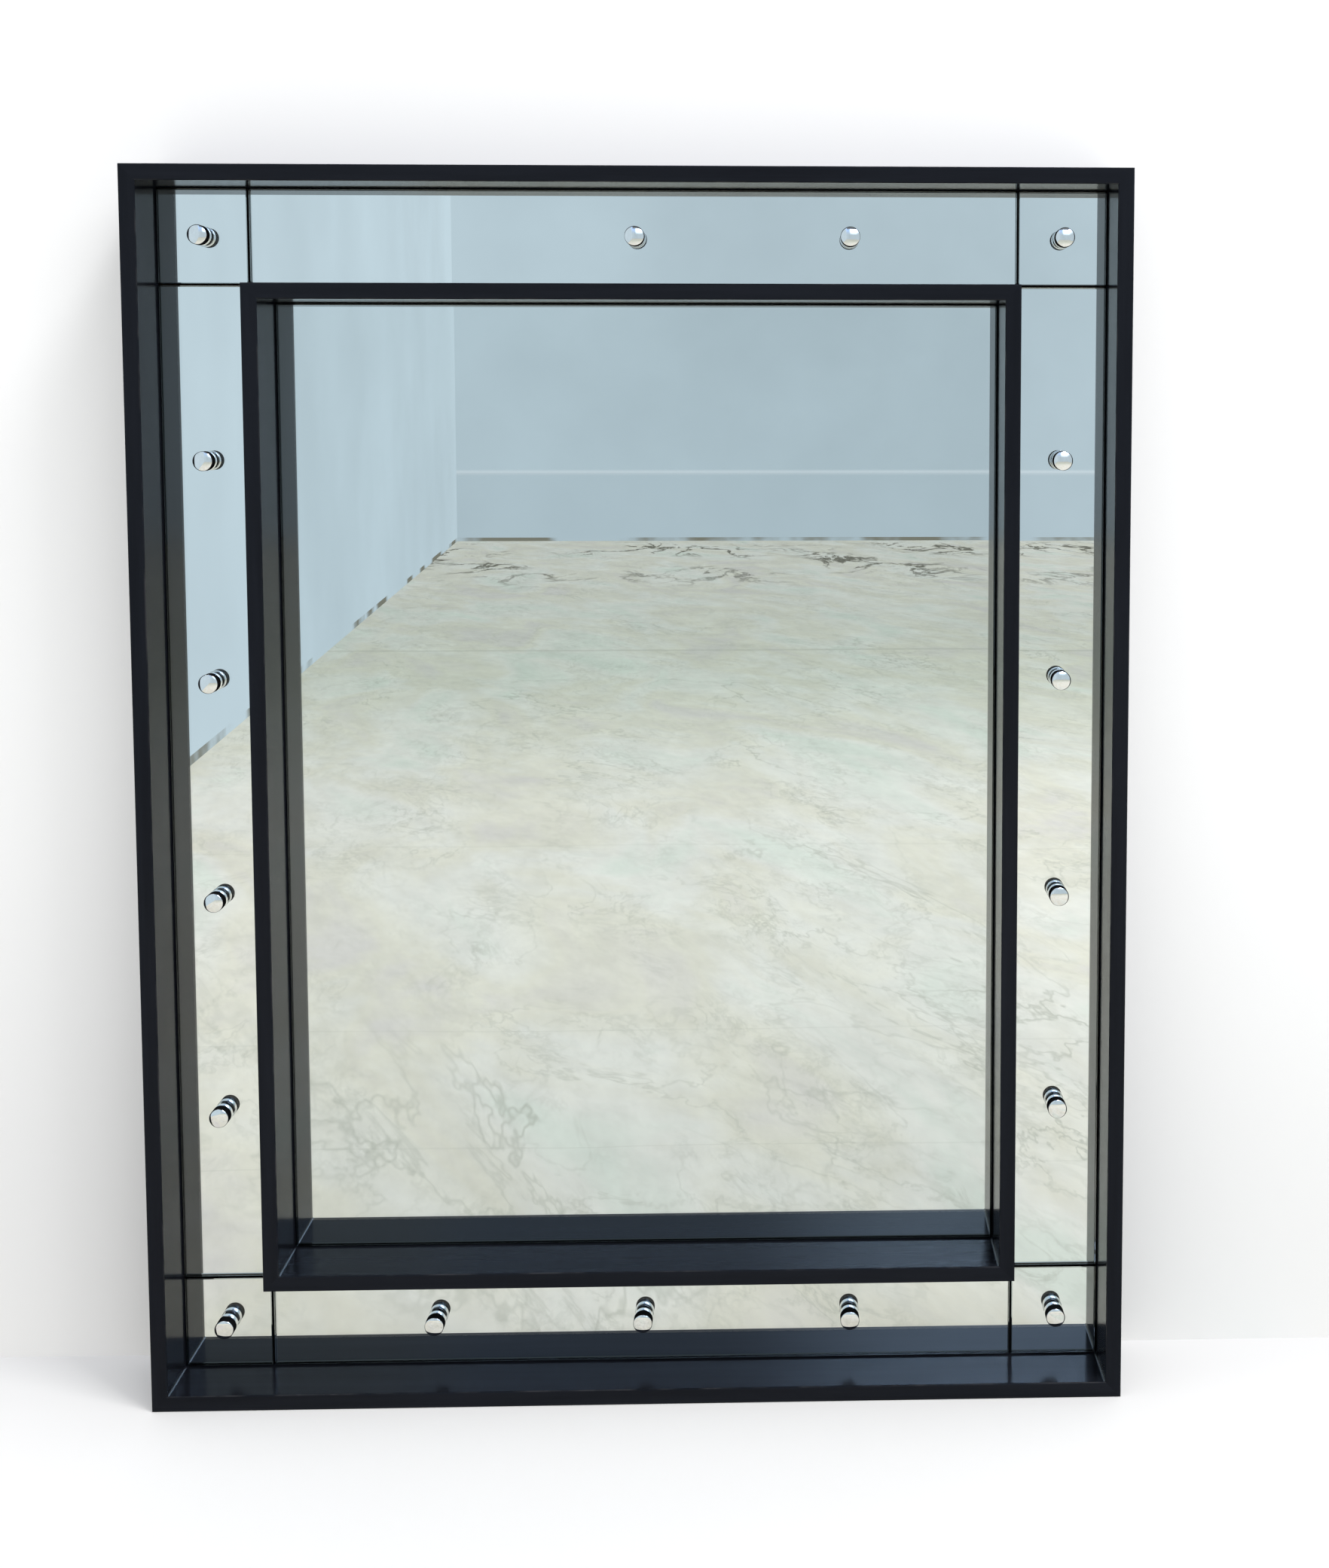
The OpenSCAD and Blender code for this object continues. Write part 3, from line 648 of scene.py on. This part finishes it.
bead_lacquer, tree, shader = finish("pooled_lacquer", Specular_IOR_Level=0.5)
pooled = noise(tree, object_coords(tree), 120)
cloudy = ramp(tree, pooled, [(0.3, LACQUER_BLACK), (0.7, shaded(LACQUER_BLACK, 2.5))])
drive(tree, shader, Base_Color=cloudy, Roughness=add_scaled(tree, BEAD_ROUGH, pooled, BEAD_UNEVEN))
for which, glass in (("outer", "corner_mirror_top_left"), ("inner", "centre_mirror")):
    left_low, left_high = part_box(which + "_board_left")
    right_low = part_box(which + "_board_right")[0]
    bottom_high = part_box(which + "_board_bottom")[1]
    corners = [(left_high.x, bottom_high.z), (right_low.x, bottom_high.z)]
    corner_beads(which + "_corner_beads", corners, left_low.y + EDGE_R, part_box(glass)[0].y, BEAD_R,
                 bead_lacquer)


# Mirror plates: 4 mm float glass, its ground edges left grey along the seams and sealed with black paint
# where they lie against a board. The silver is a thin coat of its own just inside the glass's back face,
# cut round the stud holes as the glass is.
def facing_y(tree):
    """How far a face looks along Y, from -1 at the front to 1 at the back."""
    return split(tree, tree.nodes.new("ShaderNodeTexCoord").outputs["Normal"])["Y"]


GLASS_TINT = (0.965, 0.985, 0.98)
GROUND_EDGE = (0.28, 0.31, 0.31)
EDGE_PAINT = (0.006, 0.007, 0.007)
EDGE_REACH = 2.5 * MM
FLAT_ENOUGH = 0.99
clear_glass, tree, shader = finish("mirror_glass", Roughness=0.0, IOR=1.52, Transmission_Weight=1.0)
flat_face = math_node(tree, "GREATER_THAN", math_node(tree, "ABSOLUTE", facing_y(tree)), FLAT_ENOUGH)
place = split(tree, object_coords(tree))
across, up = [math_node(tree, "ABSOLUTE", math_node(tree, "SUBTRACT", place[axis], middle))
              for axis, middle in zip("XZ", MIDDLE)]
outer_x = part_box("outer_board_right")[0].x - MIDDLE[0] - EDGE_REACH
outer_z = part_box("outer_board_top")[0].z - MIDDLE[1] - EDGE_REACH
inner_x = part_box("inner_board_right")[1].x - MIDDLE[0] + EDGE_REACH
inner_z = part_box("inner_board_top")[1].z - MIDDLE[1] + EDGE_REACH
by_outer = math_node(tree, "MAXIMUM", math_node(tree, "GREATER_THAN", across, outer_x),
                     math_node(tree, "GREATER_THAN", up, outer_z))
by_inner = math_node(tree, "MULTIPLY", math_node(tree, "LESS_THAN", across, inner_x),
                     math_node(tree, "LESS_THAN", up, inner_z))
edge = mix_colour(tree, math_node(tree, "MAXIMUM", by_outer, by_inner), GROUND_EDGE, EDGE_PAINT)
drive(tree, shader, Base_Color=mix_colour(tree, flat_face, edge, GLASS_TINT))


def silvering(name, colour):
    """Silver behind glass: a clean mirror with the faintest cloudiness."""
    material, tree, shader = finish(name, Metallic=1.0, Roughness=0.0)
    clouds = noise(tree, object_coords(tree), 6)
    drive(tree, shader, Base_Color=ramp(tree, clouds, [(0.3, shaded(colour, 0.985)), (0.7, colour)]))
    return material


def mesh_points(mesh):
    """The mesh's points as rows of x, y and z."""
    points = np.empty(len(mesh.vertices) * 3, np.float32)
    mesh.vertices.foreach_get("co", points)
    return points.reshape(-1, 3)


COAT_INSET = 0.02 * MM
COAT_THICK = 0.05 * MM


def silver_coat(plate, material):
    """A thin closed slab cut from the plate's own back face: the face's outline, moved in and thickened."""
    mesh = node[plate].data
    points = mesh_points(mesh)
    triangles = np.empty(len(mesh.loops), np.int32)
    mesh.loops.foreach_get("vertex_index", triangles)
    triangles = triangles.reshape(-1, 3)
    back = points[:, 1].max()
    triangles = triangles[(points[triangles, 1] > back - COAT_INSET / 2).all(axis=1)]
    used, renumbered = np.unique(triangles, return_inverse=True)
    sheet = points[used]
    sheet[:, 1] = back - COAT_INSET
    piece = new_piece(plate + "_silver", sheet.tolist(), renumbered.reshape(-1, 3).tolist(), material)
    weld = piece.modifiers.new("weld", "WELD")
    weld.merge_threshold = SAME_POINT
    thick = piece.modifiers.new("thickness", "SOLIDIFY")
    thick.thickness = COAT_THICK
    thick.offset = -1
    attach(piece, ROOT)


CENTRE_SILVER = (0.85, 0.88, 0.89)
BORDER_SILVER = (0.935, 0.955, 0.965)
border_silver = silvering("border_silver", BORDER_SILVER)
centre_silver = silvering("centre_silver", CENTRE_SILVER)
border_plates = [name for name in node if name.startswith(("corner_mirror", "strip_mirror"))]
for plate in border_plates:
    silver_coat(plate, border_silver)
silver_coat("centre_mirror", centre_silver)
dress(border_plates + ["centre_mirror"], clear_glass)

# Border and centre boards: fibreboard, painted black on the front so that the seams between the plates
# stay dark. The bare back of the centre board shows behind the mirror.
FIBRE_PALE = (0.50, 0.34, 0.205)
FIBRE_DARK = (0.36, 0.235, 0.135)
FRONT_BLACK = (0.006, 0.006, 0.007)
FRONT_FACING = -0.5
FIBRE_SHARES = (0.55, 0.45)
FIBRE_RELIEF = 0.1 * MM
fibreboard, tree, shader = finish("fibreboard", Roughness=0.82, Specular_IOR_Level=0.3)
place = object_coords(tree)
fibres = noise(tree, place, 420, detail=4, roughness=0.7)
blotches = noise(tree, place, 5, roughness=0.6)
pressed = add_scaled(tree, math_node(tree, "MULTIPLY", fibres, FIBRE_SHARES[0]), blotches, FIBRE_SHARES[1])
bare = ramp(tree, pressed, [(0.38, FIBRE_DARK), (0.6, FIBRE_PALE)])
front = math_node(tree, "LESS_THAN", facing_y(tree), FRONT_FACING)
drive(tree, shader, Base_Color=mix_colour(tree, front, bare, FRONT_BLACK))
bump(tree, shader, fibres, FIBRE_RELIEF)
dress([name for name in node if name.startswith("border_board_")
       and not name.endswith("screws")] + ["centre_board"], fibreboard)

# Rails and stiles: planed pine battens between the two frames, glued and screwed; the splines in the
# mitres are cut from the same pine. Growth rings run along each batten.
PINE_PALE = (0.72, 0.52, 0.30)
PINE_DARK = (0.50, 0.30, 0.13)
PINE_RELIEF = 0.15 * MM
# Growth rings across the batten: radians in a metre, their slant, how far they wander, how sharp they are
RING_PHASE = 620.0
RING_SLANT = 0.6
RING_WANDER = 75.0
RING_SHARP = 3.0
RING_SHARES = (0.6, 0.4)


def pine(name, turn):
    """Pine with its grain along the batten; turn brings the batten's length to Z."""
    material, tree, shader = finish(name, Roughness=0.55)
    place = object_coords(tree, turn=turn)
    squeeze = object_coords(tree, scale=(1, 1, 0.09), turn=turn)
    wander = noise(tree, squeeze, 12, detail=4, roughness=0.45)
    parts = split(tree, place)
    across = add_scaled(tree, parts["X"], parts["Y"], RING_SLANT)
    phase = add_scaled(tree, math_node(tree, "MULTIPLY", across, RING_PHASE), wander, RING_WANDER)
    rings = add_scaled(tree, 0.5, math_node(tree, "SINE", phase), 0.5)
    late = math_node(tree, "MULTIPLY", math_node(tree, "POWER", rings, RING_SHARP), RING_SHARES[0])
    grain = placed(tree, GRAIN, Vector=place, Scale=160.0, Stretch=22.0)
    tone = add_scaled(tree, late, grain["Streak"], RING_SHARES[1])
    drive(tree, shader, Base_Color=ramp(tree, tone, [(0.15, PINE_PALE), (0.85, PINE_DARK)]))
    bump(tree, shader, grain["Height"], PINE_RELIEF)
    return material


pine_upright = pine("pine_upright", UPRIGHT)
pine_level = pine("pine_level", LEVEL)
dress(["stile_left", "stile_right", "outer_mitre_splines", "inner_mitre_splines"], pine_upright)
dress(["rail_top", "rail_bottom"], pine_level)

# Mounting tape: pads of pale closed-cell foam between glass and board, sticky on both sides, that hold
# the plates and bed them evenly.
FOAM_PALE = (0.78, 0.78, 0.74)
FOAM_RELIEF = 0.1 * MM
foam, tree, shader = finish("mounting_tape", Roughness=0.9)
cells = noise(tree, object_coords(tree), 900, detail=2)
drive(tree, shader, Base_Color=ramp(tree, cells, [(0.35, shaded(FOAM_PALE, 0.8)), (0.6, FOAM_PALE)]))
bump(tree, shader, cells, FOAM_RELIEF)
dress(["border_tape", "centre_tape"], foam)

# Studs: a cap with a bright face and a skirt painted matte black, a painted dark reflection in place of
# the chrome's own, screws onto a chromed collar over a soft washer, and a sleeve keeps the screw off the
# drilled glass. Cap and collar are turned, so each is a profile spun about its axis.
stud_low, stud_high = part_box("stud_caps")
collar_low, collar_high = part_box("stud_collars")
STUD_REACH = 20 * MM


def stud_places():
    """The middle of each stud as (x, z), from the loose parts of the washers' mesh."""
    points = mesh_points(node["stud_washers"].data).astype(float)[:, [0, 2]]
    cells = np.unique(np.round(points / STUD_REACH), axis=0)
    found = []
    for cell in cells * STUD_REACH:
        near = points[np.linalg.norm(points - cell, axis=1) < 1.5 * STUD_REACH]
        middle = (near.min(0) + near.max(0)) / 2
        if not any(np.linalg.norm(middle - other) < STUD_REACH for other in found):
            found.append(middle)
    return np.array(found)


def arc(centre, radius, start, end, steps):
    """Points on an arc about centre, angles in degrees from the radial direction."""
    angle = np.radians(np.linspace(start, end, steps))
    return [(centre[0] + radius * math.cos(a), centre[1] + radius * math.sin(a)) for a in angle]


SPIN_STEPS = 72


def spun(name, profile, places, base, material, closed_on_axis):
    """Surface of revolution: the profile's (radius, height) points turned in SPIN_STEPS about -Y. One
    such solid stands at each place."""
    radius, height = np.array(profile).T
    turn = np.arange(SPIN_STEPS) * 2 * math.pi / SPIN_STEPS
    ring_x = radius[:, None] * np.cos(turn)
    ring_z = radius[:, None] * np.sin(turn)
    ring_y = np.repeat(base - height[:, None], SPIN_STEPS, axis=1)
    one = np.stack([ring_x, ring_y, ring_z], axis=2).reshape(-1, 3)
    row = np.arange(len(radius))
    below = row if not closed_on_axis else row[:-1]
    above = (below + 1) % len(radius)
    step = np.arange(SPIN_STEPS)
    after = (step + 1) % SPIN_STEPS
    quads = np.stack([below[:, None] * SPIN_STEPS + step, below[:, None] * SPIN_STEPS + after,
                      above[:, None] * SPIN_STEPS + after, above[:, None] * SPIN_STEPS + step], axis=2)
    quads = quads.reshape(-1, 4)
    points = np.concatenate([one + (x, 0, z) for x, z in places])
    faces = np.concatenate([quads + i * len(one) for i in range(len(places))])
    piece = new_piece(name, points.tolist(), faces.tolist(), material)
    tidy(piece.data)
    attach(piece, ROOT)
    return piece


CHROME = (0.95, 0.955, 0.96)


def polished(name, low, high):
    """Polished chrome with fine hairlines, its roughness from low to high. Returns the material, its
    tree and shader, and its colour and roughness as sockets."""
    material, tree, shader = finish(name, Metallic=1.0, Specular_IOR_Level=0.0)
    hairs = noise(tree, object_coords(tree), 700, roughness=0.7)
    rough = add_scaled(tree, low, hairs, high - low)
    bright = ramp(tree, hairs, [(0.3, shaded(CHROME, 0.95)), (0.6, CHROME)])
    drive(tree, shader, Base_Color=bright, Roughness=rough)
    return material, tree, shader, bright, rough


# The skirt's painted dark reflection: matte black, with neither metal nor gloss
SKIRT_PAINTED_DARK = (0.012, 0.013, 0.014)
SKIRT_ROUGH = 0.3
# The slopes between which the skirt's black, a painted dark reflection, gives way to the bright face
FACE_BEGINS = (-0.3, -0.65)
chrome = polished("chrome_plate", low=0.03, high=0.1)[0]
cap_finish, tree, shader, bright, rough = polished("chrome_face_painted_dark_skirt", low=0.02, high=0.07)
# Where the cap turns sideways, the chrome gives way to the skirt's painted black: painted dark reflection
forward = fade(tree, facing_y(tree), *FACE_BEGINS)
sideways = math_node(tree, "SUBTRACT", 1.0, forward)
drive(tree, shader, Base_Color=mix_colour(tree, forward, SKIRT_PAINTED_DARK, bright), Metallic=forward,
      Roughness=add_scaled(tree, rough, sideways, SKIRT_ROUGH))
# The cap: a bore over the collar's boss, a straight skirt and a face that rises a little to its middle
places = stud_places()
FLANGE = collar_high.y - stud_high.y
RIM = 0.4 * MM
CAP_R = (stud_high.x - stud_low.x) / 2 - max(abs(places[:, 0]))
CAP_HIGH = stud_high.y - stud_low.y
FACE_RISE = 1.2 * MM
FACE_R = (CAP_R ** 2 + FACE_RISE ** 2) / (2 * FACE_RISE)
FACE_MIDDLE = CAP_HIGH - FACE_R
ROUND = 0.9 * MM
ROUND_MIDDLE = FACE_MIDDLE + math.sqrt((FACE_R - ROUND) ** 2 - (CAP_R - ROUND) ** 2)
FACE_FROM = math.degrees(math.atan2(ROUND_MIDDLE - FACE_MIDDLE, CAP_R - ROUND))
BORE_R = 5.1 * MM
BORE_SPARE = 1 * MM
BORE_DEEP = collar_high.y - collar_low.y - FLANGE + BORE_SPARE
cap_profile = [(0, BORE_DEEP), (BORE_R, BORE_DEEP), (BORE_R, 0), (CAP_R - RIM, 0)]
cap_profile += arc((CAP_R - RIM, RIM), RIM, -90, 0, steps=6)[1:]
cap_profile += arc((CAP_R - ROUND, ROUND_MIDDLE), ROUND, 0, FACE_FROM, steps=8)
cap_profile += arc((0, FACE_MIDDLE), FACE_R, FACE_FROM, 90, steps=16)[1:]
caps = spun("polished_caps", cap_profile, places, stud_high.y, cap_finish, closed_on_axis=True)
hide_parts("stud_caps")
# The collar: a flange, a boss that carries the cap, and a countersunk hole for the screw
BOSS_R = 5 * MM
BOSS_HIGH = collar_high.y - collar_low.y
HOLE_R = 2.1 * MM
HEAD_R = 3.7 * MM
collar_profile = [(HOLE_R, 0), (CAP_R - RIM, 0)] + arc((CAP_R - RIM, RIM), RIM, -90, 0, steps=5)[1:]
collar_profile += arc((CAP_R - RIM, FLANGE - RIM), RIM, 0, 90, steps=5)
collar_profile += [(BOSS_R, FLANGE), (BOSS_R, BOSS_HIGH), (HEAD_R, BOSS_HIGH),
                   (HOLE_R, BOSS_HIGH - HEAD_R + HOLE_R)]
collars = spun("turned_collars", collar_profile, places, collar_high.y, chrome, closed_on_axis=False)
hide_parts("stud_collars")
RUBBER_BLACK = (0.012, 0.012, 0.013)
RUBBER_DUSTY = (0.03, 0.03, 0.032)
rubber, tree, shader = finish("washer_rubber", Roughness=0.7)
dust = noise(tree, object_coords(tree), 300)
drive(tree, shader, Base_Color=ramp(tree, dust, [(0.4, RUBBER_BLACK), (0.7, RUBBER_DUSTY)]))
dress(["stud_washers"], rubber)
NYLON_GREY = (0.7, 0.72, 0.72)
NYLON_PALE = (0.8, 0.81, 0.81)
nylon, tree, shader = finish("sleeve_nylon", Roughness=0.4, Subsurface_Weight=0.2)
milky = noise(tree, object_coords(tree), 200, detail=2)
drive(tree, shader, Base_Color=ramp(tree, milky, [(0.3, NYLON_GREY), (0.7, NYLON_PALE)]))
dress(["stud_sleeves"], nylon)

# Corner braces and strap hangers: flat steel, zinc plated and dulled by handling, screwed to the rails
# and stiles. All screws of the mirror are yellow passivated.
ZINC_PALE = (0.62, 0.64, 0.66)
ZINC_DARK = (0.42, 0.44, 0.47)
ZINC_RELIEF = 0.03 * MM
ZINC_ROUGH = 0.22
STAIN_ROUGH = 0.25
zinc, tree, shader = finish("zinc_plate", Metallic=1.0)
place = object_coords(tree)
spangle = noise(tree, place, 260, detail=4, roughness=0.7)
stain = noise(tree, place, 30, roughness=0.6)
dulled = math_node(tree, "MULTIPLY", math_node(tree, "ADD", spangle, stain), 0.5)
drive(tree, shader, Base_Color=ramp(tree, dulled, [(0.35, ZINC_DARK), (0.6, ZINC_PALE)]),
      Roughness=add_scaled(tree, ZINC_ROUGH, stain, STAIN_ROUGH))
bump(tree, shader, spangle, ZINC_RELIEF)
dress(["corner_braces", "hanger_strap_left", "hanger_strap_right"], zinc)
SCREW_YELLOW = (0.74, 0.62, 0.36)
screw_plate, tree, shader = finish("screw_plate", Metallic=1.0, Roughness=0.25)
tarnish = noise(tree, object_coords(tree), 500, roughness=0.6)
dimmed = ramp(tree, tarnish, [(0.35, shaded(SCREW_YELLOW, 0.75)), (0.6, SCREW_YELLOW)])
drive(tree, shader, Base_Color=dimmed)
dress([name for name in node if name.endswith("screws")], screw_plate)

# Hanging rings: 4 mm wire bent to a D, its bar through the rolled eye of the strap, its ends butted.
# Each hangs from its eye and swings up to take the wall hook.
WIRE_R = 2 * MM
TUBE_STEPS = 20


def wire(name, path, radius, material):
    """A closed tube: a circle of the given radius carried round a closed path. The path lies in one
    X-Z plane."""
    path = np.array(path)
    ahead = np.roll(path, -1, axis=0) - np.roll(path, 1, axis=0)
    ahead /= np.linalg.norm(ahead, axis=1)[:, None]
    side = np.cross(ahead, (0, 1, 0))
    turn = np.arange(TUBE_STEPS) * 2 * math.pi / TUBE_STEPS
    points = (path[:, None] + radius * np.cos(turn)[None, :, None] * side[:, None]
              + radius * np.sin(turn)[None, :, None] * np.array((0, 1.0, 0)))
    row = np.arange(len(path))[:, None]
    next_row = (row + 1) % len(path)
    step = np.arange(TUBE_STEPS)[None, :]
    after = (step + 1) % TUBE_STEPS
    faces = np.stack([row * TUBE_STEPS + step, row * TUBE_STEPS + after,
                      next_row * TUBE_STEPS + after, next_row * TUBE_STEPS + step], axis=2).reshape(-1, 4)
    piece = new_piece(name, points.reshape(-1, 3).tolist(), faces.tolist(), material)
    tidy(piece.data)
    return piece


RING_R = 14 * MM
RING_DROP = 8 * MM
BEND_R = 3.5 * MM
BAR_STEPS = 8
BEND_STEPS = 9
LOOP_STEPS = 40
half_bar = RING_R - BEND_R
for side in ("left", "right"):
    low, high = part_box("hanger_ring_" + side)
    x = (low.x + high.x) / 2
    y = (low.y + high.y) / 2
    z = high.z - WIRE_R
    path = [(x - half_bar + 2 * half_bar * i / BAR_STEPS, y, z) for i in range(BAR_STEPS)]
    path += [(x + half_bar + dx, y, z - BEND_R + dz) for dx, dz in arc((0, 0), BEND_R, 90, 0, BEND_STEPS)]
    path += [(x + dx, y, z - RING_DROP + dz) for dx, dz in arc((0, 0), RING_R, 0, -180, LOOP_STEPS)]
    last_bend = arc((0, 0), BEND_R, 180, 90, BEND_STEPS)[:-1]
    path += [(x - half_bar + dx, y, z - BEND_R + dz) for dx, dz in last_bend]
    ring = wire("wire_ring_" + side, path, WIRE_R, zinc)
    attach(ring, "ring_" + side)
    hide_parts("hanger_ring_" + side)

# The picture is shown as rendered.
bpy.context.scene.view_settings.view_transform = "Standard"
